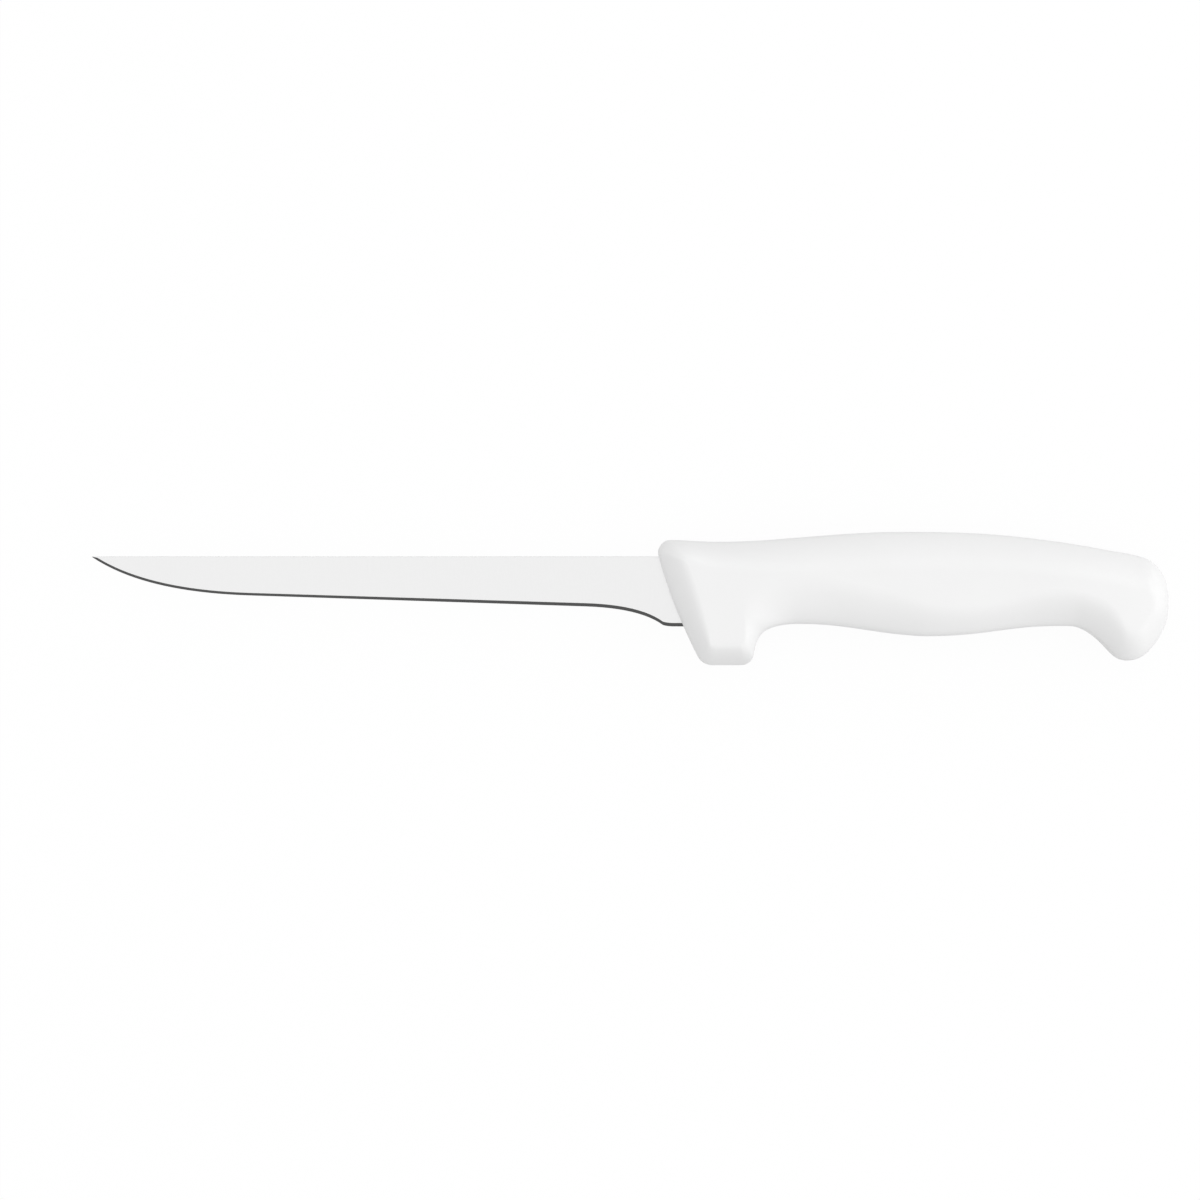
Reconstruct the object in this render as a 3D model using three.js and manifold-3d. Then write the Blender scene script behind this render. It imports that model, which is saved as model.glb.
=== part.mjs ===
// Flexible boning knife: a ground strip-steel blade whose tang is moulded into a one-piece plastic handle.
// Millimetres. X runs from the point to the butt, Y from the cutting edge to the back, Z across the knife.
// While it is drawn, x = 0 is the handle's front, y = 0 the blade's straight back and z = 0 the middle plane.

import * as THREE from "three";
import { mergeVertices } from "three/addons/utils/BufferGeometryUtils.js";
import Module from "manifold-3d";

// Blade: lengths from the handle's front, heights from the back down
const BLADE_LENGTH = 152;
const STRIP_THICKNESS = 1.5;
const POINT_THICKNESS = 0.8;
const POINT_ANGLE = 34;
const SWEEP_LENGTH = 40;
const SWEEP_HEIGHT = 10.23;
const HEEL_START = 25;
const HEEL_HEIGHT = 13.04;
const ROOT_START = 2.9;
const ROOT_HEIGHT = 18.64;
const BEVEL_HEIGHT = 0.9;
const BEVEL_THICKNESS = 0.4;

// Tang: the strip inside the handle, with round holes that the plastic fills as keys
const TANG_LENGTH = 98;
const TANG_HEIGHT = 12.4;
const TANG_END_HEIGHT = 9.4;
const TANG_DEPTH = 7.2;
const TANG_INSET = 3;
const KEY_HOLE = 6;
const KEY_FIRST = 26;
const KEY_LAST_FROM_END = 12;
const MOULD_GAP = 0.3;

// Handle: lengths from its front, rises and depths from the blade's back
const HANDLE_LENGTH = 137;
const FRONT_RISE = 0.7;
const FRONT_RAKE = 10.7;
const FRONT_BOW = 0.85;
const BACK_RISE = 4.4;
const CROWN_RISE = 6.6;
const SHOULDER_RISE = 0.5;
const GUARD_LENGTH = 25.6;
const GUARD_DEPTH = 29.2;
const INDEX_LENGTH = 38;
const INDEX_DEPTH = 18.1;
const PALM_DEPTH = 21.4;
const LITTLE_FROM_END = 30;
const LITTLE_DEPTH = 18.65;
const HOOK_FROM_END = 11.2;
const HOOK_DEPTH = 27.95;
const BUTT_DEPTH = 13;

// Thickness of the handle, how much each side eases off toward the butt, and the rim that the outline keeps
const HANDLE_THICKNESS = 19;
const BUTT_TAPER = 1;
const NOSE_RIM = 5.8;
const BACK_RIM = 4;
const GUARD_RIM = 1.8;
const INDEX_RIM = 9.5;
const PALM_RIM = 9;
const HOOK_RIM = 5.6;
const BUTT_RIM = 2;

// How far each rounded edge runs in from the outline
const NOSE_ROUND = 7.6;
const BACK_ROUND = 8;
const GUARD_ROUND = 5.7;
const INDEX_ROUND = 12.7;
const PALM_ROUND = 8.3;
const HOOK_ROUND = 8.35;
const BUTT_ROUND = 5.7;

const { clamp, degToRad, lerp, smoothstep } = THREE.MathUtils;
const wasm = await Module();
wasm.setup();

// A closed surface as a solid that can be joined or cut; triangles that collapse to a line are left out.
function solid(geometry) {
  const bare = geometry.clone();
  bare.deleteAttribute("normal");
  bare.deleteAttribute("uv");
  const welded = mergeVertices(bare, 1e-5);
  const corners = Array.from(welded.index.array);
  const kept = [];
  for (let i = 0; i < corners.length; i += 3) {
    const [a, b, c] = corners.slice(i, i + 3);
    if (a !== b && b !== c && c !== a) kept.push(a, b, c);
  }
  const vertProperties = new Float32Array(welded.attributes.position.array);
  return new wasm.Manifold(new wasm.Mesh({ numProp: 3, vertProperties, triVerts: new Uint32Array(kept) }));
}

function piece(name, shape, material) {
  const { vertProperties, triVerts } = shape.getMesh();
  const geometry = new THREE.BufferGeometry();
  geometry.setAttribute("position", new THREE.BufferAttribute(vertProperties, 3));
  geometry.setIndex(new THREE.BufferAttribute(triVerts, 1));
  geometry.computeVertexNormals();
  const mesh = new THREE.Mesh(geometry, material);
  mesh.name = name;
  return mesh;
}

// The triangles of a surface through rows of points, as a list of corners; a closed row joins its own ends.
function skin(rows, closed) {
  const corners = [];
  const spans = closed ? rows[0].length : rows[0].length - 1;
  for (let r = 0; r + 1 < rows.length; r += 1) {
    for (let c = 0; c < spans; c += 1) {
      const next = (c + 1) % rows[0].length;
      const [a, b, d, e] = [rows[r][c], rows[r][next], rows[r + 1][next], rows[r + 1][c]];
      corners.push(a, b, d, a, d, e);
    }
  }
  return corners;
}

const surface = (corners) => new THREE.BufferGeometry().setFromPoints(corners);

// The handle's front leans back from the blade's back to the guard's foot, bowed a little toward the point.
const frontTop = new THREE.Vector2(0, FRONT_RISE);
const frontFoot = new THREE.Vector2(FRONT_RAKE, 2.3 - GUARD_DEPTH);
const frontMiddle = frontTop.clone().lerp(frontFoot, 0.5).sub(new THREE.Vector2(2 * FRONT_BOW, 0));
const frontLine = new THREE.QuadraticBezierCurve(frontTop, frontMiddle, frontFoot);
const frontAt = (y) => frontLine.getPoint((frontTop.y - y) / (frontTop.y - frontFoot.y)).x;

// The cutting edge from the point: the sweep, a straight run, the heel's ramp and the root in the handle.
function edgeLine() {
  const sweepEnd = new THREE.Vector2(SWEEP_LENGTH - BLADE_LENGTH, -SWEEP_HEIGHT);
  const heel = new THREE.Vector2(-HEEL_START, -HEEL_HEIGHT);
  const root = new THREE.Vector2(ROOT_START, -ROOT_HEIGHT);
  const rampFoot = heel.clone().lerp(root, 0.95);
  const fall = Math.tan(degToRad(POINT_ANGLE));
  const slope = (heel.y - sweepEnd.y) / (heel.x - sweepEnd.x);
  const bend = (SWEEP_HEIGHT + slope * SWEEP_LENGTH) / (fall + slope);
  const edge = new THREE.Path();
  edge.moveTo(-BLADE_LENGTH, 0);
  edge.quadraticCurveTo(bend - BLADE_LENGTH, -fall * bend, sweepEnd.x, sweepEnd.y);
  edge.quadraticCurveTo((sweepEnd.x + heel.x) / 2, (sweepEnd.y + heel.y) / 2, heel.x, heel.y);
  edge.quadraticCurveTo(lerp(heel.x, root.x, 0.68), heel.y, rampFoot.x, rampFoot.y);
  edge.quadraticCurveTo(root.x - 0.4, root.y, root.x + 1.6, root.y);
  edge.lineTo(frontAt(root.y) + TANG_INSET, root.y);
  return edge.getPoints(16);
}

// The ground blade: full at the back, flat sides down to the cutting bevel, thinner toward the point.
// Grown on every side, it is the space that the mould keeps round the steel.
function groundBlade(grow) {
  const sections = edgeLine().slice(1).map((edge) => {
    const depth = -edge.y;
    const full = lerp(STRIP_THICKNESS, POINT_THICKNESS, clamp(-edge.x / BLADE_LENGTH, 0, 1));
    const back = Math.min(full, 0.6 * depth) / 2 + grow;
    const shoulder = Math.min(BEVEL_THICKNESS, 0.4 * depth) / 2 + grow;
    const bevelTop = Math.min(BEVEL_HEIGHT, 0.4 * depth) - depth;
    const place = (y, z) => new THREE.Vector3(edge.x, y, z);
    return [
      place(grow, -back),
      place(grow, back),
      place(bevelTop, shoulder),
      place(-depth - grow, grow),
      place(-depth - grow, -grow),
      place(bevelTop, -shoulder),
    ];
  });
  const point = sections[0].map(() => new THREE.Vector3(-BLADE_LENGTH - grow, 0, 0));
  const root = sections.pop().map((p) => p.setX(p.x + grow));
  const rootMiddle = root.map((p) => new THREE.Vector3(p.x, -ROOT_HEIGHT / 2, 0));
  return solid(surface(skin([point, ...sections, root, rootMiddle], true)));
}

// The tang keeps the strip's full thickness and narrows to a round end.
function tang(grow) {
  const start = frontAt(-TANG_DEPTH - TANG_HEIGHT / 2) + TANG_INSET / 2;
  const half = TANG_HEIGHT / 2 + grow;
  const endRadius = TANG_END_HEIGHT / 2 + grow;
  const endMiddle = TANG_LENGTH - TANG_END_HEIGHT / 2;
  const outline = new THREE.Shape();
  outline.moveTo(start, half - TANG_DEPTH);
  outline.lineTo(start, -half - TANG_DEPTH);
  outline.lineTo(endMiddle, -endRadius - TANG_DEPTH);
  outline.absarc(endMiddle, -TANG_DEPTH, endRadius, -Math.PI / 2, Math.PI / 2, false);
  for (const share of [0, 0.5, 1]) {
    const x = lerp(KEY_FIRST, TANG_LENGTH - KEY_LAST_FROM_END, share);
    outline.holes.push(new THREE.Path().absarc(x, -TANG_DEPTH, KEY_HOLE / 2 - grow, 0, 2 * Math.PI, true));
  }
  const depth = STRIP_THICKNESS + 2 * grow;
  const strip = new THREE.ExtrudeGeometry(outline, { depth, bevelEnabled: false, curveSegments: 20 });
  return solid(strip.translate(0, 0, -depth / 2));
}

// The handle's half thickness along it: full as far as the hook, then easing off toward the butt.
const little = HANDLE_LENGTH - LITTLE_FROM_END;
const palm = (INDEX_LENGTH + little) / 2;
const hook = HANDLE_LENGTH - HOOK_FROM_END;
const halfThickness = (x) => {
  const way = clamp((x - little - 1) / (LITTLE_FROM_END - 7), 0, 1);
  return HANDLE_THICKNESS / 2 - BUTT_TAPER * way * way;
};

// A smooth line through marks. A mark is a place, the line's direction there in degrees and one more number:
// on an outline the thickness of the rim that it keeps, on a flat's edge the fullness of the rounded edge.
const mark = (x, y, heading, extra) => ({ place: new THREE.Vector2(x, y), heading, extra });
const turned = ({ place, heading, extra }) => ({ place, heading: heading - 180, extra });

function smoothLine(marks, steps) {
  const points = [];
  for (let i = 0; i + 1 < marks.length; i += 1) {
    const [from, to] = marks.slice(i, i + 2);
    const reach = 0.38 * from.place.distanceTo(to.place);
    const lead = ({ heading }) => new THREE.Vector2(
      reach * Math.cos(degToRad(heading)), reach * Math.sin(degToRad(heading)));
    const leaving = from.place.clone().add(lead(from));
    const arriving = to.place.clone().sub(lead(to));
    const curve = new THREE.CubicBezierCurve(from.place, leaving, arriving, to.place);
    for (let s = i === 0 ? 0 : 1; s <= steps; s += 1) {
      const extra = lerp(from.extra, to.extra, smoothstep(s / steps, 0, 1));
      points.push(Object.assign(curve.getPoint(s / steps), { extra }));
    }
  }
  return points;
}

// Back and belly, each as an outline in the middle plane and as the edge of the side's flat. The marks pair
// up: front, front corner, guard, guard's rear corner, behind the guard, index finger, fore palm, palm,
// little finger, front of the hook, hook, and the corner of the butt.
const backOutline = [
  mark(0, FRONT_RISE, 90, NOSE_RIM),
  mark(3.2, BACK_RISE, 0, BACK_RIM),
  mark(FRONT_RAKE + 2.3, BACK_RISE - 0.4, -1.5, BACK_RIM),
  mark(GUARD_LENGTH - 7.6, BACK_RISE - 0.46, 0.5, BACK_RIM),
  mark(GUARD_LENGTH - 2.6, BACK_RISE - 0.33, 1.8, BACK_RIM),
  mark(INDEX_LENGTH, BACK_RISE + 0.7, 4.3, BACK_RIM),
  mark(palm - 20, CROWN_RISE - 0.44, 3.4, BACK_RIM),
  mark(palm - 5.5, CROWN_RISE, 0, BACK_RIM),
  mark(little - 0.8, SHOULDER_RISE + 3.6, -8, BACK_RIM),
  mark(hook - 4.8, SHOULDER_RISE + 1.12, -11, 0.85 * BACK_RIM),
  mark(hook + 1.5, SHOULDER_RISE, -13, 0.65 * BACK_RIM),
  mark(HANDLE_LENGTH - 3.4, SHOULDER_RISE - 2.8, -45, BUTT_RIM),
];
const backFlat = [
  mark(NOSE_ROUND, FRONT_RISE - 2.5, 60, 0.3),
  mark(NOSE_ROUND + 0.9, BACK_RISE - 5.8, 0, 0.4),
  mark(FRONT_RAKE + 2.3, BACK_RISE + 0.9 - BACK_ROUND, -11, 0.2),
  mark(GUARD_LENGTH - 7.6, BACK_RISE + 0.1 - BACK_ROUND, -6, 0.2),
  mark(GUARD_LENGTH - 2.8, BACK_RISE - 0.3 - BACK_ROUND, -3, 0.2),
  mark(INDEX_LENGTH + 0.5, BACK_RISE - 0.6 - BACK_ROUND, 1, 0.2),
  mark(palm - 19.9, CROWN_RISE - 2.3 - BACK_ROUND, 2, 0.2),
  mark(palm - 5.9, CROWN_RISE - 2.1 - BACK_ROUND, 0, 0.2),
  mark(little - 0.5, SHOULDER_RISE + 2.4 - BACK_ROUND, -6, 0.2),
  mark(hook - 4.4, SHOULDER_RISE + 0.1 - BACK_ROUND, -12, 0.2),
  mark(hook + 1.2, SHOULDER_RISE - 1.1 - BACK_ROUND, -16, 0.2),
  mark(HANDLE_LENGTH - BUTT_ROUND - 0.5, SHOULDER_RISE - 2.3 - BACK_ROUND, -60, 0.3),
];
const bellyOutline = [
  mark(frontFoot.x, frontFoot.y, -61, 0.9 * NOSE_RIM),
  mark(FRONT_RAKE + 4, -GUARD_DEPTH, 0, GUARD_RIM),
  mark(GUARD_LENGTH - 3.3, -GUARD_DEPTH, 0, GUARD_RIM),
  mark(GUARD_LENGTH, 2.8 - GUARD_DEPTH, 82, INDEX_RIM),
  mark(GUARD_LENGTH + 4.6, -INDEX_DEPTH - 1.1, 18, INDEX_RIM),
  mark(INDEX_LENGTH, -INDEX_DEPTH, 0, 0.72 * INDEX_RIM),
  mark(palm - 16.5, -(INDEX_DEPTH + PALM_DEPTH) / 2, -8.4, 0.72 * INDEX_RIM),
  mark(palm + 1.5, -PALM_DEPTH, 0, PALM_RIM),
  mark(little + 2.8, -LITTLE_DEPTH, -2, 0.9 * HOOK_RIM),
  mark(hook - 7.1, 0.34 - (LITTLE_DEPTH + HOOK_DEPTH) / 2, -43, HOOK_RIM),
  mark(hook, -HOOK_DEPTH, 0, 0.9 * HOOK_RIM),
  mark(HANDLE_LENGTH - 3.2, 5.3 - HOOK_DEPTH, 56, 0.8 * HOOK_RIM),
];
const bellyFlat = [
  mark(FRONT_RAKE + 3.1, GUARD_ROUND + 0.5 - GUARD_DEPTH, -60, 0.1),
  mark(FRONT_RAKE + 5.2, GUARD_ROUND - GUARD_DEPTH, 0, 0.3),
  mark(GUARD_LENGTH - 4.2, GUARD_ROUND - GUARD_DEPTH, 0, 0.3),
  mark(GUARD_LENGTH - 2.8, GUARD_ROUND + 2 - GUARD_DEPTH, 80, 0.2),
  mark(GUARD_LENGTH - 2.8, 3.5 - INDEX_DEPTH, 86, 0.5),
  mark(INDEX_LENGTH - 2.3, INDEX_ROUND - INDEX_DEPTH, 9, 0.45),
  mark(palm - 17.1, 0.91 * INDEX_ROUND - (INDEX_DEPTH + PALM_DEPTH) / 2, -9, 0.28),
  mark(palm + 2, PALM_ROUND - PALM_DEPTH, -11, 0.17),
  mark(little + 2.4, PALM_ROUND + 1.15 - LITTLE_DEPTH, -8, 0.05),
  mark(hook - 2.6, 0.78 * HOOK_ROUND - (LITTLE_DEPTH + HOOK_DEPTH) / 2, -66, 0.34),
  mark(hook + 0.6, HOOK_ROUND - HOOK_DEPTH, 0, 0.35),
  mark(HANDLE_LENGTH - BUTT_ROUND - 2.8, HOOK_ROUND + 1.4 - HOOK_DEPTH, 65, 0.1),
];

// The rounded edge from rim to flat, as shares of its width and height: a long slope, or fuller, to a round.
const roundedEdge = (fullness) => new THREE.CubicBezierCurve(
  new THREE.Vector2(0, 0),
  new THREE.Vector2(lerp(0.3, 0, fullness), lerp(0.4, 0.55, fullness)),
  new THREE.Vector2(lerp(0.62, 0.45, fullness), 1),
  new THREE.Vector2(1, 1));

// The moulding as it leaves the mould: the outline and the flats, joined by a rounded edge, on both sides.
function moulding() {
  const steps = 4;
  const across = 2 * steps;
  const roundSteps = 7;
  const back = smoothLine(backOutline, steps);
  const belly = smoothLine(bellyOutline, steps);
  const backEdge = smoothLine(backFlat, steps);
  const bellyEdge = smoothLine(bellyFlat, steps);
  const along = (line, first, last) => line.getPoints(across).map((p, i) => Object.assign(p, {
    extra: lerp(first.extra, last.extra, i / across) }));
  const front = along(frontLine, back[0], belly[0]);
  const bandMiddle = backEdge[0].clone().lerp(bellyEdge[0], 0.5).add(new THREE.Vector2(0.8, 0.6));
  const frontEdge = along(new THREE.QuadraticBezierCurve(backEdge[0], bandMiddle, bellyEdge[0]),
    backEdge[0], bellyEdge[0]);
  const buttMarks = [
    backOutline.at(-1),
    mark(HANDLE_LENGTH, -BUTT_DEPTH, -90, BUTT_RIM),
    turned(bellyOutline.at(-1)),
  ];
  const buttFlat = [
    backFlat.at(-1),
    mark(HANDLE_LENGTH - BUTT_ROUND, 0.2 - BUTT_DEPTH, -90, 0.6),
    turned(bellyFlat.at(-1)),
  ];
  const butt = smoothLine(buttMarks, steps);
  const buttEdge = smoothLine(buttFlat, steps);

  const round = (a, b, c, d) => [
    ...a,
    ...b.slice(1, -1),
    ...c.toReversed(),
    ...d.slice(1, -1).reverse(),
  ];
  const outline = round(back, butt, belly, front);
  const flat = round(backEdge, buttEdge, bellyEdge, frontEdge);
  const ring = (share, side) => outline.map((p, i) => {
    const { x: inward, y: up } = roundedEdge(flat[i].extra).getPoint(share);
    const place = p.clone().lerp(flat[i], inward);
    return new THREE.Vector3(place.x, place.y, side * lerp(p.extra / 2, halfThickness(flat[i].x), up));
  });
  const shares = Array.from({ length: roundSteps + 1 }, (_, i) => i / roundSteps);
  const rim = [
    ...shares.toReversed().map((share) => ring(share, 1)),
    ...shares.map((share) => ring(share, -1)),
  ];

  const columns = backEdge.map((p, i) => frontEdge.map((_, j) => p.clone().lerp(bellyEdge[i], j / across)));
  columns[0] = frontEdge;
  columns[columns.length - 1] = buttEdge;
  const side = (up) => columns.map((column) => {
    const lifted = column.map((p) => new THREE.Vector3(p.x, p.y, up * halfThickness(p.x)));
    return up > 0 ? lifted : lifted.reverse();
  });
  return solid(surface([...skin(rim, true), ...skin(side(1), false), ...skin(side(-1), false)]));
}

const steel = new THREE.MeshStandardMaterial({ color: 0xd4d6d8, metalness: 1, roughness: 0.35 });
steel.name = "blade_steel";
const plastic = new THREE.MeshStandardMaterial({ color: 0xf0f0ee, metalness: 0, roughness: 0.45 });
plastic.name = "handle_plastic";

const blade = groundBlade(0).add(tang(0));
const pocket = groundBlade(MOULD_GAP).add(tang(MOULD_GAP));
const handle = moulding().subtract(pocket);

const knife = new THREE.Group();
knife.name = "boning_knife";
knife.add(piece("blade", blade, steel));
knife.add(piece("handle", handle, plastic));

// The knife lies on its side, centred over the origin.
const box = new THREE.Box3().setFromObject(knife);
const middle = box.getCenter(new THREE.Vector3());
knife.position.set(-middle.x, -middle.y, -box.min.z);
knife.updateMatrixWorld(true);

export default knife;
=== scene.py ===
# %% [markdown]
# # A flexible boning knife
# The knife has two pieces: a blade of thin strip steel, and a plastic handle that is moulded round its
# tang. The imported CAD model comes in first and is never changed. It gives the size and the place of all
# that follows.

# %% Load the frame
from math import cos, radians, sin, tan

import bmesh
import bpy
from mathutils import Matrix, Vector
from mathutils.geometry import interpolate_bezier


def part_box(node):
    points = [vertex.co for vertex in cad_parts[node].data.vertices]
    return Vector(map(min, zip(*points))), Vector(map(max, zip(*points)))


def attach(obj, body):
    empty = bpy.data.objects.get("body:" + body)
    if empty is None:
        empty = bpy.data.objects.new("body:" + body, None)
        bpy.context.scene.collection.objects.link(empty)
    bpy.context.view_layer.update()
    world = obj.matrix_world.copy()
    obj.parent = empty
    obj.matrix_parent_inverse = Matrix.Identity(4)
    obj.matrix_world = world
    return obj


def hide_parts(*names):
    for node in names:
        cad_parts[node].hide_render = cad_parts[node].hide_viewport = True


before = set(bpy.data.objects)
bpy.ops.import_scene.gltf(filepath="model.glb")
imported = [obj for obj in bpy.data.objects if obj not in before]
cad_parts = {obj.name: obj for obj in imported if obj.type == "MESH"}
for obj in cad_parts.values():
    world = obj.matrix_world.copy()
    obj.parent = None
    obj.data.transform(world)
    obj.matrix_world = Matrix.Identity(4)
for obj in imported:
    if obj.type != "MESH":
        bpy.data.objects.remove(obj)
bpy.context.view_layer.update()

blade_low, blade_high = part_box("blade")
handle_low, handle_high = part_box("handle")

# %% [markdown]
# ## Hand tools
# Each piece is drawn where it is easy to measure: x = 0 at the handle's front, y = 0 along the blade's
# straight back and z = 0 in the middle plane. A last move then takes it to its place in the frame. In edit
# mode we keep the numbers of the vertices we work on, so that a row can be picked again after other rows
# have been made.

# %% Hand tools
MM = 0.001
DRAWN_TO_FRAME = Vector((handle_low.x, blade_high.y, handle_high.z / 2))


def begin(name, add_primitive, **size):
    """Add a primitive with nothing else selected, and open it in edit mode."""
    bpy.ops.object.select_all(action="DESELECT")
    add_primitive(**size)
    piece = bpy.context.object
    piece.name = piece.data.name = name
    bpy.ops.object.mode_set(mode="EDIT")
    return piece


def open_shape(piece):
    """The mesh of a piece in edit mode, with its vertices numbered."""
    shape = bmesh.from_edit_mesh(piece.data)
    shape.verts.index_update()
    shape.verts.ensure_lookup_table()
    return shape


def pick(piece, numbers):
    """Select these vertices, and the edges and faces between them."""
    bpy.ops.mesh.select_all(action="DESELECT")
    shape = open_shape(piece)
    for number in numbers:
        shape.verts[number].select_set(True)
    shape.select_flush(True)
    bmesh.update_edit_mesh(piece.data)


def move_to(piece, number, place):
    """Move one vertex to a place."""
    pick(piece, [number])
    bpy.ops.transform.translate(value=place - open_shape(piece).verts[number].co)


print("one millimetre is", MM, "and the drawing moves by", tuple(DRAWN_TO_FRAME))

# %% [markdown]
# ## The cutting edge
# Seen from the side, the back is straight and the edge has four stretches: a sweep up to the point, a long
# straight run that falls slightly toward the handle, a ramp at the heel, and the root, which goes into the
# handle. It could be traced with many points, but each stretch has only one bend, so three say all about
# it: its start, its end and the corner that it bends round. The point itself is left a little blunt. We
# read the edge as stations, from the root to the point.

# %% The cutting edge
BLADE_LENGTH = handle_low.x - blade_low.x
POINT = Vector((0.1 * MM - BLADE_LENGTH, -0.18 * MM))
POINT_ANGLE = radians(34)
SWEEP = Vector((42 * MM - BLADE_LENGTH, -10.44 * MM))
HEEL = Vector((-19.5 * MM, -13.4 * MM))
ROOT = Vector((2.9 * MM, -18.78 * MM))
ROOT_END = Vector((9.4 * MM, ROOT.y))
ROOT_ROUND_START = ROOT + Vector((1.6 * MM, 0))
ROOT_ROUND_CORNER = ROOT - Vector((0.4 * MM, 0))
RAMP_CORNER_SHARE = 0.655
RAMP_FOOT_SHARE = 0.93


def bend(start, corner, end, steps):
    """Points of a curve that leaves start toward corner and arrives at end from it; start is left out."""
    shares = [step / steps for step in range(1, steps + 1)]
    return [start.lerp(corner, t).lerp(corner.lerp(end, t), t) for t in shares]


slope = (HEEL.y - SWEEP.y) / (HEEL.x - SWEEP.x)
fall = tan(POINT_ANGLE)
sweep_reach = (slope * (SWEEP.x - POINT.x) + POINT.y - SWEEP.y) / (fall + slope)
sweep_corner = POINT + sweep_reach * Vector((1, -fall))
ramp_corner = HEEL + RAMP_CORNER_SHARE * (ROOT.x - HEEL.x) * Vector((1, slope))
ramp_foot = HEEL.lerp(ROOT, RAMP_FOOT_SHARE)

edge = [ROOT_END, ROOT_ROUND_START]
edge += bend(ROOT_ROUND_START, ROOT_ROUND_CORNER, ramp_foot, steps=8)
edge += bend(ramp_foot, ramp_corner, HEEL, steps=12)
edge += bend(HEEL, HEEL.lerp(SWEEP, 0.5), SWEEP, steps=12)
edge += bend(SWEEP, sweep_corner, POINT, steps=20)
print("the edge has", len(edge), "stations over", round(BLADE_LENGTH / MM), "mm of blade")

# %% [markdown]
# ## The ground blade
# The strip is ground flat on both sides, from its full thickness at the back down to a thin line, where a
# small bevel makes the cutting edge. The bevel is widest at the heel, narrowest where the sweep begins and
# a little wider again toward the point. A box with bevelled edges would not taper in both directions. So we
# draw half of the section as a row of five vertices, extrude it from station to station, and move each
# vertex to its place there. Near the point the blade gets too narrow for the full section, and all of it
# shrinks together.

# %% The blade's section
STRIP_THICKNESS = 1.5 * MM
POINT_THICKNESS = 0.8 * MM
HEEL_BEVEL = 0.92 * MM
SWEEP_BEVEL = 0.68 * MM
POINT_BEVEL = 0.74 * MM
BEVEL_SLOPE = 0.22
SIDE_SLOPE = 0.05
BACK_CHAMFER = 0.12 * MM
MOST_BEVEL = 0.85
MOST_CHAMFER = 0.4


def bevel_height_at(x):
    """The bevel narrows from the heel to the sweep, and widens again round the sweep to the point."""
    if x > SWEEP.x:
        return HEEL_BEVEL + min(x / SWEEP.x, 1) * (SWEEP_BEVEL - HEEL_BEVEL)
    return SWEEP_BEVEL + (SWEEP.x - x) / (SWEEP.x - POINT.x) * (POINT_BEVEL - SWEEP_BEVEL)


def section_at(station):
    """The corners of half a section, from the edge up the bevel and the side to the back."""
    depth = -station.y
    ahead = max(-station.x / BLADE_LENGTH, 0)
    bevel = min(bevel_height_at(station.x), MOST_BEVEL * depth)
    shoulder = BEVEL_SLOPE * bevel
    full = (STRIP_THICKNESS + ahead * (POINT_THICKNESS - STRIP_THICKNESS)) / 2
    half = min(full, shoulder + SIDE_SLOPE * (depth - bevel))
    chamfer = min(BACK_CHAMFER, MOST_CHAMFER * half)
    corners = [(-depth, 0), (bevel - depth, shoulder), (-chamfer, half), (0, half - chamfer), (0, 0)]
    return [Vector((station.x, y, z)) for y, z in corners]


heel_section = [[round(side / MM, 2) for side in corner.yz] for corner in section_at(HEEL)]
print("half of the section at the heel, in mm:", heel_section)

# %% Draw the section at the root
blade = begin("ground_blade", bpy.ops.mesh.primitive_plane_add, size=MM)
bpy.ops.mesh.merge(type="CENTER")
section = section_at(edge[0])
move_to(blade, 0, section[0])
for before, after in zip(section, section[1:]):
    bpy.ops.mesh.extrude_region_move(TRANSFORM_OT_translate={"value": after - before})
corners = open_shape(blade).verts
row = [min(corners, key=lambda v: (v.co - place).length).index for place in section]
print("the section has", len(row), "corners")

# %% [markdown]
# ## Rows and halves
# A blade is long and even, so it grows row by row: a row is extruded in place, and its new vertices are then
# moved one by one. Both sides of the knife are alike, so only the upper half of a piece is drawn. A Mirror
# modifier makes the other half, and an end that is still open gets a face. Normals are recalculated last, so
# that every face points outwards.

# %% Rows and halves
WELD = 0.001 * MM


def extrude_row(piece, numbers):
    """Extrude a row of vertices in place, and give the new row in the same order."""
    pick(piece, numbers)
    bpy.ops.mesh.extrude_region_move()
    shape = open_shape(piece)
    new_row = []
    for number in numbers:
        old = shape.verts[number]
        near = [old] + [link.other_vert(old) for link in old.link_edges]
        new_row.append(next(end.index for end in near if end.select))
    return new_row


def merge_doubles():
    """Join the vertices that share a place, in the piece that is open in edit mode."""
    bpy.ops.mesh.select_all(action="SELECT")
    bpy.ops.mesh.remove_doubles(threshold=WELD)


def choose(piece):
    """Make one piece in object mode the only one selected."""
    bpy.ops.object.select_all(action="DESELECT")
    bpy.context.view_layer.objects.active = piece
    piece.select_set(True)


def apply_modifier(piece, kind, **settings):
    """Add a modifier to a piece in object mode and apply it."""
    choose(piece)
    modifier = piece.modifiers.new(kind.title(), kind)
    for name, value in settings.items():
        setattr(modifier, name, value)
    bpy.ops.object.modifier_apply(modifier=modifier.name)


def mirror_across_middle(piece):
    """Close a half that was drawn above the middle plane, with its faces turned outwards."""
    bpy.ops.object.mode_set(mode="OBJECT")
    apply_modifier(piece, "MIRROR", use_axis=(False, False, True), merge_threshold=WELD)
    bpy.ops.object.mode_set(mode="EDIT")
    bpy.ops.mesh.select_all(action="DESELECT")
    bpy.ops.mesh.select_non_manifold(use_wire=False, use_multi_face=False, use_non_contiguous=False)
    if any(corner.select for corner in open_shape(piece).verts):
        bpy.ops.mesh.edge_face_add()
    bpy.ops.mesh.select_all(action="SELECT")
    bpy.ops.mesh.normals_make_consistent(inside=False)
    bpy.ops.object.mode_set(mode="OBJECT")


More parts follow.
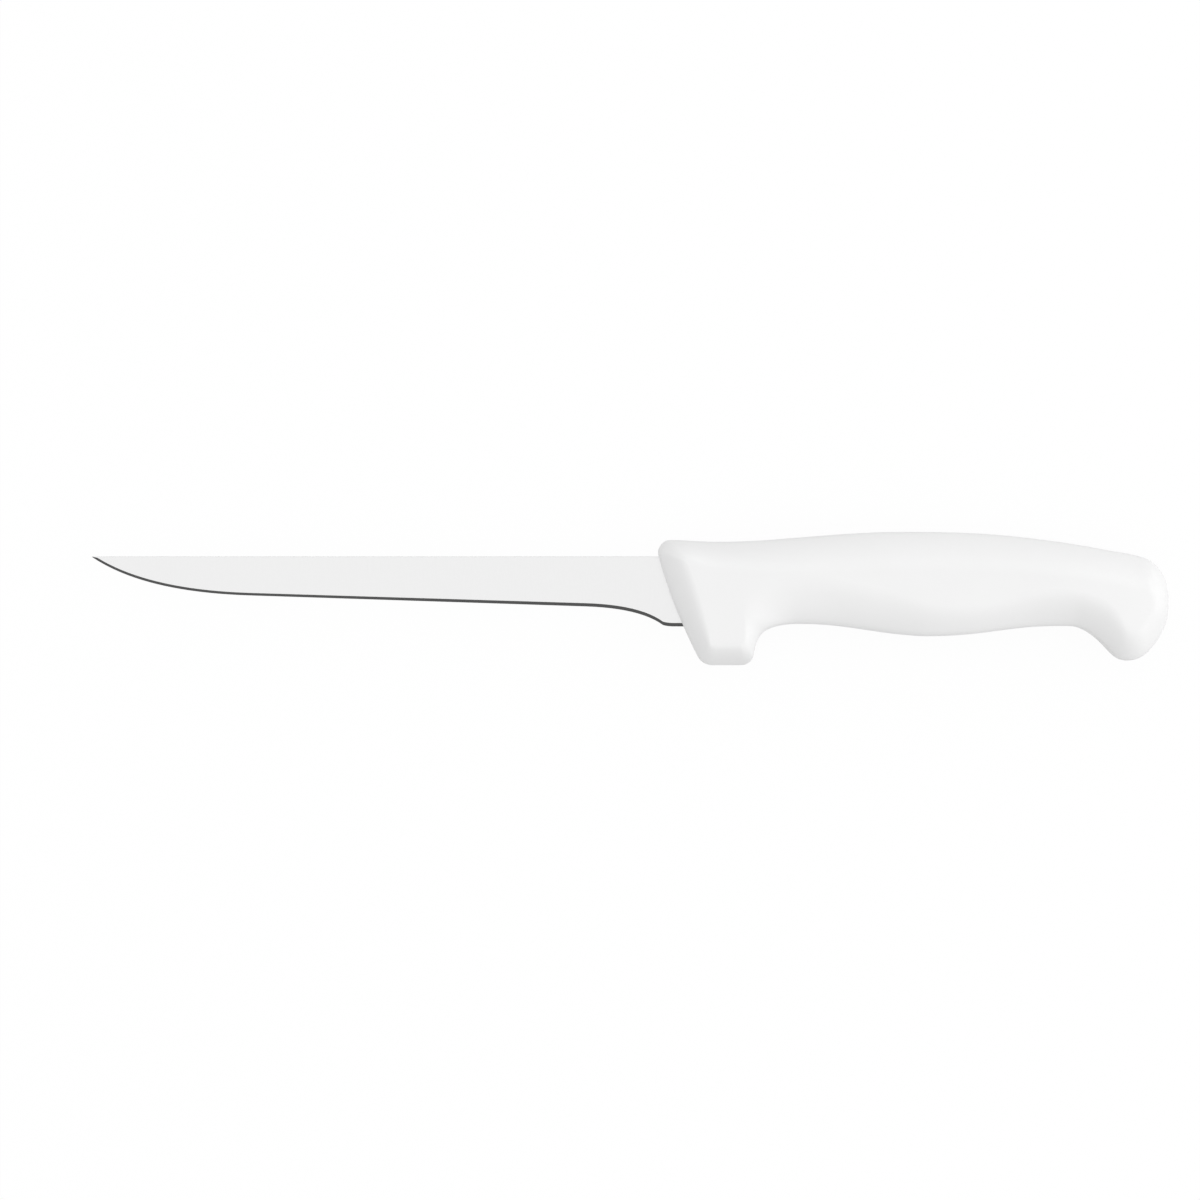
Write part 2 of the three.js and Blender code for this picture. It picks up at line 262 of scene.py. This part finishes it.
print("vertices closer than", WELD / MM, "mm are merged")

# %% Extrude the section along the blade
for station in edge[1:]:
    row = extrude_row(blade, row)
    for number, place in zip(row, section_at(station)):
        move_to(blade, number, place)
row = extrude_row(blade, row)
pick(blade, row)
bpy.ops.transform.resize(value=(0, 0, 0), center_override=(-BLADE_LENGTH, POINT.y / 2, 0))
merge_doubles()
mirror_across_middle(blade)
print("the ground blade has", len(blade.data.polygons), "faces")

# %% [markdown]
# ## The tang
# Inside the handle the strip goes on as a tang, which narrows to a round end. Three holes let the plastic
# flow through, so that the blade can never pull out. The tang starts as a cube at the strip's thickness.
# Its far end is scaled in, and the two corners there are bevelled until they meet in a half circle. The
# holes come last, as in the workshop: a cylinder is taken away for each.

# %% The tang
TANG_START = 6 * MM
TANG_END = 98 * MM
TANG_HEIGHT = 12.4 * MM
TANG_END_HEIGHT = 9.4 * MM
TANG_DEPTH = 7.2 * MM
CORNER_ROUND = 0.495 * TANG_END_HEIGHT

middle = ((TANG_START + TANG_END) / 2, -TANG_DEPTH, 0)
tang = begin("tang", bpy.ops.mesh.primitive_cube_add, size=1, location=middle)
tang_size = (TANG_END - TANG_START, TANG_HEIGHT, STRIP_THICKNESS)
bpy.ops.transform.resize(value=tang_size, center_override=middle)
pick(tang, [v.index for v in open_shape(tang).verts if v.co.x > 0])
bpy.ops.transform.resize(value=(1, TANG_END_HEIGHT / TANG_HEIGHT, 1), center_override=middle)
bpy.ops.mesh.select_all(action="DESELECT")
bpy.ops.mesh.select_mode(type="EDGE")
for side in open_shape(tang).edges:
    along = (side.verts[1].co - side.verts[0].co).normalized()
    side.select_set(abs(along.z) > 0.99 and side.verts[0].co.x > 0)
bpy.ops.mesh.bevel(offset=CORNER_ROUND, segments=12, profile=0.5, affect="EDGES")
bpy.ops.mesh.select_mode(type="VERT")
bpy.ops.object.mode_set(mode="OBJECT")
bpy.ops.object.transform_apply(location=True, rotation=True, scale=True)
print("the tang has", len(tang.data.polygons), "faces")

# %% Drill the tang and join it to the blade
HOLE_DIAMETER = 6 * MM
HOLE_PLACES = (26 * MM, 56 * MM, 86 * MM)
DRILL_LENGTH = 3 * STRIP_THICKNESS

for x in HOLE_PLACES:
    hole = {"radius": HOLE_DIAMETER / 2, "depth": DRILL_LENGTH, "location": (x, -TANG_DEPTH, 0)}
    drill = begin("drill", bpy.ops.mesh.primitive_cylinder_add, vertices=40, **hole)
    bpy.ops.object.mode_set(mode="OBJECT")
    apply_modifier(tang, "BOOLEAN", operation="DIFFERENCE", solver="EXACT", object=drill)
    bpy.data.objects.remove(drill)
apply_modifier(blade, "BOOLEAN", operation="UNION", solver="EXACT", object=tang)
bpy.data.objects.remove(tang)
print("blade and tang have", len(blade.data.polygons), "faces")

# %% [markdown]
# ## The handle's outlines
# The moulding is thick and soft: flat sides, a rounded back, a deep guard in front of the index finger, a
# full palm and a hook behind the little finger. A block could be sculpted into this, but it would be hard
# to hold to size. So two lines describe each side: the outline in the middle plane and the edge of the
# side's flat. A rounded edge joins them. A mark is a place in millimetres, the line's direction there in
# degrees and one more number. On an outline that is half the thickness of the flat rim that the outline
# keeps, as at the front and behind the guard. On the flat's edge it is the fullness of the rounded edge,
# from 0 for a long slope to 1 for a tight round. The marks of back and belly pair up, from the front to the
# butt. The front and the inner edge of its band need no marks of their own, because each is a single bend.

# %% Mark the back
INSIDE = 0.02
HANDLE_LENGTH = (handle_high.x - handle_low.x) / MM - INSIDE
CROWN_RISE = (handle_high.y - blade_high.y) / MM - INSIDE


def mark(x, y, heading, extra):
    """A place with its extra number, and the direction of the line there."""
    turn = radians(heading)
    return MM * Vector((x, y, extra)), Vector((cos(turn), sin(turn), 0))


back_outline = [
    mark(0, 0.7, 90, 2.9),
    mark(3.2, 4.4, 0, 2),
    mark(13, 4, -1.5, 2),
    mark(18, 3.94, 0.5, 2),
    mark(23, 4.07, 1.8, 2),
    mark(38, 5.1, 4.3, 2),
    mark(52.5, 6.16, 3.4, 2),
    mark(67, CROWN_RISE, 0, 2),
    mark(106.2, 4.1, -8, 2),
    mark(121, 1.62, -11, 1.7),
    mark(HANDLE_LENGTH - 9.7, 0.5, -13, 1.3),
    mark(HANDLE_LENGTH - 3.4, -2.3, -45, 1),
]
back_flat = [
    mark(7.6, -1.8, 60, 0.3),
    mark(8.5, -1.4, 0, 0.4),
    mark(13, -2.7, -11, 0.2),
    mark(18, -3.5, -6, 0.2),
    mark(22.8, -3.9, -3, 0.2),
    mark(38.5, -4.2, 1, 0.2),
    mark(52.6, -3.7, 2, 0.2),
    mark(66.6, -3.5, 0, 0.2),
    mark(106.5, -5.1, -6, 0.2),
    mark(121.4, -7.4, -12, 0.2),
    mark(HANDLE_LENGTH - 10, -8.6, -16, 0.2),
    mark(HANDLE_LENGTH - 6.2, -9.8, -60, 0.3),
]
print("the back has", len(back_outline), "pairs of marks over", round(HANDLE_LENGTH), "mm")

# %% Mark the belly
GUARD_DEPTH = (blade_high.y - handle_low.y) / MM - INSIDE

belly_outline = [
    mark(10.7, 2.3 - GUARD_DEPTH, -61, 2.6),
    mark(14.7, -GUARD_DEPTH, 0, 0.9),
    mark(22.3, -GUARD_DEPTH, 0, 0.9),
    mark(25.6, 2.8 - GUARD_DEPTH, 82, 4.7),
    mark(30.2, -19.2, 18, 4.8),
    mark(38, -18.1, 0, 3.4),
    mark(56, -19.75, -8.4, 3.4),
    mark(74, -21.4, 0, 4.5),
    mark(109.8, -18.65, -2, 2.5),
    mark(118.7, -22.96, -43, 2.8),
    mark(HANDLE_LENGTH - 11.2, -27.95, 0, 2.5),
    mark(HANDLE_LENGTH - 3.2, -22.65, 56, 2.2),
]
belly_flat = [
    mark(13.8, 6.2 - GUARD_DEPTH, -60, 0.1),
    mark(15.9, 5.7 - GUARD_DEPTH, 0, 0.3),
    mark(21.4, 5.7 - GUARD_DEPTH, 0, 0.3),
    mark(22.8, 7.7 - GUARD_DEPTH, 80, 0.2),
    mark(22.8, -14.6, 86, 0.5),
    mark(35.7, -5.4, 9, 0.45),
    mark(55.4, -8.2, -9, 0.28),
    mark(74.5, -13.1, -11, 0.17),
    mark(109.4, -9.2, -8, 0.05),
    mark(123.2, -16.8, -66, 0.34),
    mark(HANDLE_LENGTH - 10.6, -19.6, 0, 0.35),
    mark(HANDLE_LENGTH - 8.5, -18.2, 65, 0.1),
]
print("the belly has", len(belly_outline), "pairs of marks, down to", round(GUARD_DEPTH, 1), "mm at the guard")

# %% Mark the butt and the front
FRONT_BOW = Vector((-1.7 * MM, 0, 0))
BAND_BOW = Vector((0.8 * MM, 0.6 * MM, 0))


def turned(a_mark):
    """The same mark for a line that comes the other way."""
    place, direction = a_mark
    return place, -direction


butt_outline = [
    back_outline[-1],
    mark(HANDLE_LENGTH, -13, -90, 1),
    turned(belly_outline[-1]),
]
butt_flat = [
    back_flat[-1],
    mark(HANDLE_LENGTH - 5.7, -12.8, -90, 0.6),
    turned(belly_flat[-1]),
]
front_top, front_foot = back_outline[0][0], belly_outline[0][0]
front_corner = front_top.lerp(front_foot, 0.5) + FRONT_BOW
band_top, band_foot = back_flat[0][0], belly_flat[0][0]
band_corner = band_top.lerp(band_foot, 0.5) + BAND_BOW
print("the front leans back by", round((front_foot.x - front_top.x) / MM, 1), "mm")

# %% Follow the outlines all the way round
STEPS = 4
REACH = 0.38

columns = STEPS * (len(back_outline) - 1)
rows = STEPS * (len(butt_outline) - 1)


def smooth_line(marks):
    """Points on a smooth line through marks; the third coordinate is the mark's extra number."""
    line = [marks[0][0]]
    for (start, leaving), (end, arriving) in zip(marks, marks[1:]):
        reach = REACH * (end - start).xy.length
        line += interpolate_bezier(start, start + reach * leaving, end - reach * arriving, end, STEPS + 1)[1:]
    return line


def all_round(back, butt, belly, front):
    """One closed line, along the back and the butt and home by the belly and the front."""
    return back + butt[1:-1] + belly[::-1] + front[-2:0:-1]


def before_smoothing(line):
    """Push each point out by a sixth of the bend there, as much as the smoothing will pull it in."""
    around = zip(line[-1:] + line[:-1], line, line[1:] + line[:1])
    return [point - (before - 2 * point + after) / 6 for before, point, after in around]


front = [front_top] + bend(front_top, front_corner, front_foot, rows)
outline = all_round(smooth_line(back_outline), smooth_line(butt_outline), smooth_line(belly_outline), front)
outline = before_smoothing(outline)

back_edge, belly_edge = smooth_line(back_flat), smooth_line(belly_flat)
front_edge = [band_top] + bend(band_top, band_corner, band_foot, rows)
flat_edge = before_smoothing(all_round(back_edge, smooth_line(butt_flat), belly_edge, front_edge))
print("the outline has", len(outline), "points")

# %% [markdown]
# ## The side's flat
# The side of the handle is one plane from the guard to the hook, where the hand's grip ends, and eases off
# toward the butt. A flat grid is the simplest start. Its columns run from the back to the belly, and each
# vertex is moved to its place on the flat and lifted to half the handle's thickness there. The first
# columns share the bow of the front's inner edge, so that none of them crosses it.

# %% Lay the grid on the side
BUTT_TAPER = 1 * MM
TAPER_START = 108 * MM
TAPER_LENGTH = 23 * MM
BOWED_COLUMNS = 2 * STEPS


def half_thickness_at(x):
    """Half the thickness at x: full as far as the hook, then easing off toward the butt."""
    way = max(0, (x - TAPER_START) / TAPER_LENGTH)
    return handle_high.z / 2 - BUTT_TAPER * way * way


side_grid = {"x_subdivisions": columns, "y_subdivisions": rows, "size": 1}
handle = begin("moulded_handle", bpy.ops.mesh.primitive_grid_add, **side_grid)
grid = []
for column in range(columns + 1):
    x = column / columns - 0.5
    standing = [v for v in open_shape(handle).verts if abs(v.co.x - x) < 0.1 / columns]
    grid.append([v.index for v in sorted(standing, key=lambda v: -v.co.y)])

bow = [place - band_top.lerp(band_foot, row / rows) for row, place in enumerate(front_edge)]
for column, (top, foot) in enumerate(zip(back_edge, belly_edge)):
    share = max(0, 1 - column / BOWED_COLUMNS)
    for row, number in enumerate(grid[column]):
        place = top.lerp(foot, row / rows) + share * bow[row]
        move_to(handle, number, Vector((place.x, place.y, half_thickness_at(place.x))))
print("the side has", columns, "columns of", rows, "faces")

# %% [markdown]
# ## The rounded edge
# From the flat's edge the surface turns down to the outline, along a curve whose fullness changes on its
# way round the handle. A bevel has one profile all round, so we extrude the grid's rim ring by ring
# instead, and put each ring on that curve. The first lies close to the flat, for a soft turn, and the last
# lies on the rim. One more ring drops straight to the middle plane, where the halves of the mould met.
# Mirroring closes the solid, and a subdivision surface makes it smooth.

# %% Turn the edge round
RING_SHARES = (0.9, 0.75, 0.5, 0.25, 0)
SLOPE_LEAVING, SLOPE_ARRIVING = Vector((0.3, 0.4)), Vector((0.62, 1))
ROUND_LEAVING, ROUND_ARRIVING = Vector((0, 0.55)), Vector((0.45, 1))


def on_edge(flat, rim, share):
    """A place on the curve from the rim, at share 0, to the flat, at share 1."""
    fullness = flat.z / MM
    leaving = SLOPE_LEAVING.lerp(ROUND_LEAVING, fullness)
    arriving = SLOPE_ARRIVING.lerp(ROUND_ARRIVING, fullness)
    rest = 1 - share
    bulge = 3 * rest * rest * share * leaving + 3 * rest * share * share * arriving
    inward, up = bulge + share ** 3 * Vector((1, 1))
    place = rim.xy.lerp(flat.xy, inward)
    return Vector((*place, rim.z + up * (half_thickness_at(flat.x) - rim.z)))


def lay_ring(ring, share):
    """Move a ring of vertices to its share of the way from the rim to the flat."""
    for number, flat, rim in zip(ring, flat_edge, outline):
        move_to(handle, number, on_edge(flat, rim, share))


ring = all_round([column[0] for column in grid], grid[-1], [column[-1] for column in grid], grid[0])
lay_ring(ring, 1)
for share in RING_SHARES:
    ring = extrude_row(handle, ring)
    lay_ring(ring, share)
extrude_row(handle, ring)
bpy.ops.transform.resize(value=(1, 1, 0), center_override=(0, 0, 0))
mirror_across_middle(handle)
apply_modifier(handle, "SUBSURF", levels=2, render_levels=2)
print("the handle has", len(handle.data.polygons), "faces")

# %% [markdown]
# ## The moulded pocket
# The plastic was shot round the steel, so it touches the blade all over and fills the holes of the tang.
# Cutting the blade out of the handle gives just that. The cut can leave two vertices in one place, so
# doubles are merged before both pieces are shaded and moved to their place in the frame. The blade keeps
# the sharp lines of its grind, and the handle only the lip of its pocket.

# %% Cut the pocket and put both pieces in place
BLADE_CREASE = radians(4)
HANDLE_CREASE = radians(35)

apply_modifier(handle, "BOOLEAN", operation="DIFFERENCE", solver="EXACT", object=blade)
for piece, crease in ((blade, BLADE_CREASE), (handle, HANDLE_CREASE)):
    choose(piece)
    bpy.ops.object.mode_set(mode="EDIT")
    merge_doubles()
    bpy.ops.object.mode_set(mode="OBJECT")
    bpy.ops.object.shade_smooth_by_angle(angle=crease)
    bpy.ops.transform.translate(value=DRAWN_TO_FRAME)
    bpy.ops.object.transform_apply(location=True, rotation=True, scale=True)
    print(piece.name, "spans", [round(side / MM, 1) for side in piece.dimensions], "mm")

# %% [markdown]
# ## Shader maths
# A finish is a small network of nodes. This class wraps a socket, so that an expression such as 1 - grain
# adds its own Math node, and one method adds any other node.

# %% A socket that can be used in sums
class Wire:
    """One socket of a node tree; without a socket, it only adds nodes."""

    def __init__(self, tree, socket=None):
        self.tree, self.socket = tree, socket

    def node(self, kind, settings=None, inputs=None, output=0):
        """Add a node: its settings first, then the values or links of its sockets."""
        made = self.tree.nodes.new("ShaderNode" + kind)
        for name, value in (settings or {}).items():
            setattr(made, name, value)
        for name, value in (inputs or {}).items():
            if isinstance(value, Wire):
                self.tree.links.new(value.socket, made.inputs[name])
            else:
                made.inputs[name].default_value = value
        return Wire(self.tree, made.outputs[output] if made.outputs else None)

    def maths(self, operation, first, second):
        """Add a Math node on two values or links."""
        return self.node("Math", {"operation": operation}, {0: first, 1: second})

    def __add__(self, other):
        return self.maths("ADD", self, other)

    def __rsub__(self, other):
        return self.maths("SUBTRACT", other, self)

    def __mul__(self, other):
        return self.maths("MULTIPLY", self, other)

    __radd__ = __add__
    __rmul__ = __mul__


def new_finish(name):
    """An empty material, and a wire to draw its nodes with."""
    finish = bpy.data.materials.new(name)
    finish.use_nodes = True
    finish.node_tree.nodes.clear()
    return finish, Wire(finish.node_tree)


print("shader sums are ready")

# %% [markdown]
# ## White moulded plastic
# The handle is a tough, slightly waxy plastic, white right through. The mould was finely blasted, so the
# surface has a grain that only shows close by, and it shines softly. A picture of plastic would stretch
# over the round edges, so two noises in space make the finish: a fine one for the grain and a broad one for
# a faint cloudiness.

# %% White moulded plastic
GRAIN_SCALE = 2600.0
GRAIN_DEPTH = 0.03 * MM
CLOUD_SCALE = 90.0

white_plastic, wire = new_finish("white_plastic")
place = wire.node("TexCoord", output="Object")
grain = wire.node("TexNoise", None, {"Vector": place, "Scale": GRAIN_SCALE, "Detail": 3.0, "Roughness": 0.6})
cloud = wire.node("TexNoise", None, {"Vector": place, "Scale": CLOUD_SCALE, "Detail": 2.0})
whites = {"Factor": cloud, "A": (0.855, 0.855, 0.855, 1), "B": (0.875, 0.875, 0.875, 1)}
tint = wire.node("Mix", {"data_type": "RGBA"}, whites, output=2)
bump = wire.node("Bump", None, {"Strength": 0.25, "Distance": GRAIN_DEPTH, "Height": grain})
shader = wire.node("BsdfPrincipled", None, {
    "Base Color": tint,
    "Roughness": 0.48 + 0.12 * grain,
    "Normal": bump,
    "IOR": 1.49,
    "Specular IOR Level": 0.35,
})
wire.node("OutputMaterial", None, {"Surface": shader})
handle.data.materials.append(white_plastic)
print(white_plastic.name, "on", handle.name)

# %% [markdown]
# ## Satin steel and the bevel's painted dark line
# The sides are ground across the blade with a fine belt and then brushed, so tiny lines run from back to
# edge and the steel shines like satin. A noise that is squeezed along the blade draws them. The cutting
# bevel is ground steeper and reads as a thin dark line. That line is a painted dark reflection: the bevel is
# a second material, steel of a very dark grey, on the faces that lean toward the edge.

# %% Satin steel and the bevel's painted dark line
LINE_SCALE = (9000.0, 260.0, 260.0)
LINE_DEPTH = 0.01 * MM
BEVEL_LEAN = (-0.5, -0.12)


def steel(name, grey, roughness, bump):
    """Ground steel, with fine lines across the blade; a very low grey paints a dark reflection into it."""
    finish, wire = new_finish(name)
    place = wire.node("TexCoord", output="Object")
    across = wire.node("Mapping", None, {"Vector": place, "Scale": LINE_SCALE})
    lines = wire.node("TexNoise", None, {"Vector": across, "Scale": 1.0, "Detail": 3.0, "Roughness": 0.55})
    normal = wire.node("Bump", None, {"Strength": bump, "Distance": LINE_DEPTH, "Height": lines})
    darker = 0.96 * grey
    greys = {"Factor": lines, "A": (darker, darker, darker, 1), "B": (grey, grey, grey, 1)}
    tint = wire.node("Mix", {"data_type": "RGBA"}, greys, output=2)
    shader = wire.node("BsdfPrincipled", None, {
        "Base Color": tint,
        "Metallic": 1.0,
        "Roughness": roughness + 0.08 * lines,
        "Normal": normal,
    })
    wire.node("OutputMaterial", None, {"Surface": shader})
    return finish


blade.data.materials.append(steel("satin_steel", grey=0.97, roughness=0.3, bump=0.15))
# The bevel's grey of 0.1 is far darker than steel is: a painted dark reflection along the edge.
blade.data.materials.append(steel("painted_dark_bevel", grey=0.1, roughness=0.25, bump=0.2))
# These faces, which lean toward the edge, take the painted dark material.
bevel_faces = [face for face in blade.data.polygons if BEVEL_LEAN[0] < face.normal.y < BEVEL_LEAN[1]]
for face in bevel_faces:
    face.material_index = 1
print(len(bevel_faces), "faces are ground as the bevel")

# %% [markdown]
# ## Where the pieces belong
# Nothing moves on this knife, so both pieces ride on its one body, and each stands for a CAD node.

# %% Where the pieces belong
for piece, node, slot in ((blade, "blade", "blade_steel"), (handle, "handle", "handle_plastic")):
    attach(piece, "root")
    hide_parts(node)
    print(piece.name, "stands for", node)

# %% [markdown]
# ## The table
# The knife lies on a white table, just under its side. White paper under lamps would come out grey
# somewhere, so the table glows white to the camera and in reflections, and lets only a faint shadow
# through. To all other light it is a plain mid grey, which sends less light up under the handle's edges.

# %% The table
TABLE_SIZE = 30
TABLE_GAP = 0.02 * MM
PAPER_GREY = 0.5
PAPER_WHITE = 0.95
SHADOW_SHARE = 0.05

bpy.ops.object.select_all(action="DESELECT")
bpy.ops.mesh.primitive_plane_add(size=TABLE_SIZE, location=(0, 0, -TABLE_GAP))
floor = bpy.context.object
floor.name = "floor"
white_table, wire = new_finish("white_table")
ray_kinds = ("Is Camera Ray", "Is Glossy Ray", "Is Transmission Ray")
rays = [wire.node("LightPath", output=kind) for kind in ray_kinds]
seen = wire.maths("MINIMUM", rays[0] + rays[1] + rays[2], 1.0)
paper = wire.node("BsdfDiffuse", None, {"Color": PAPER_GREY + (PAPER_WHITE - PAPER_GREY) * seen})
glow = wire.node("Emission", None, {"Color": (1, 1, 1, 1), "Strength": 1.0})
surface = wire.node("MixShader", None, {0: (1 - SHADOW_SHARE) * seen, 1: paper, 2: glow})
wire.node("OutputMaterial", None, {"Surface": surface})
floor.data.materials.append(white_table)
print(white_table.name, "on", floor.name)

# %% [markdown]
# ## Room and lamps
# A bright plain room lights the knife from all round. A broad lamp on the right and a weaker one behind the
# back give the handle its soft shading. Steel that mirrors only white would be lost against the table when
# it is seen from low down. So in reflections the lamps are hidden and the room gets dimmer toward the
# horizon.

# %% Room and lamps
ROOM_LIGHT = 0.918
HORIZON_DIMMING = 0.55

room = bpy.data.worlds.new("bright_room")
bpy.context.scene.world = room
room.use_nodes = True
room.node_tree.nodes.clear()
wire = Wire(room.node_tree)
direction = wire.node("TexCoord", output="Generated")
low = 1 - wire.node("SeparateXYZ", None, {"Vector": direction}, output="Z")
mirrored = wire.node("LightPath", output="Is Glossy Ray")
strength = ROOM_LIGHT - HORIZON_DIMMING * mirrored * low * low
sky = wire.node("Background", None, {"Color": (1, 1, 1, 1), "Strength": strength})
wire.node("OutputWorld", None, {"Surface": sky})


def soft_light(name, location, turn, size, power):
    """A broad lamp that reflections don't show; its turn is in degrees."""
    bpy.ops.object.light_add(type="AREA", location=location, rotation=[radians(angle) for angle in turn])
    lamp = bpy.context.object
    lamp.name = name
    lamp.visible_glossy = False
    lamp.data.shape = "RECTANGLE"
    lamp.data.size, lamp.data.size_y = size
    lamp.data.energy = power


soft_light("right_light", (1.6, 0.2, 0.7), (0, 85, 0), (1.2, 1.6), power=9.6)
soft_light("back_light", (0.1, 1.6, 0.7), (-85, 0, 0), (1.6, 1.2), power=2.5)

# %% [markdown]
# ## Camera
# The photograph looks straight down on the side of the knife from far away, so a long lens stands above it.
# The distance follows from the width of table that the picture takes in.

# %% Camera
LENS = 100 * MM
SENSOR = 36 * MM
PICTURE_WIDTH = 322.23 * MM
PICTURE_MIDDLE = Vector((-15.575 * MM, -11.681 * MM, 0))

camera_place = DRAWN_TO_FRAME + PICTURE_MIDDLE + Vector((0, 0, PICTURE_WIDTH * LENS / SENSOR))
bpy.ops.object.camera_add(location=camera_place, rotation=(0, 0, 0))
camera = bpy.context.object
camera.data.lens, camera.data.sensor_width = LENS / MM, SENSOR / MM
bpy.context.scene.camera = camera
bpy.context.scene.view_settings.view_transform = "Standard"
print("camera at", [round(side, 4) for side in camera.location])
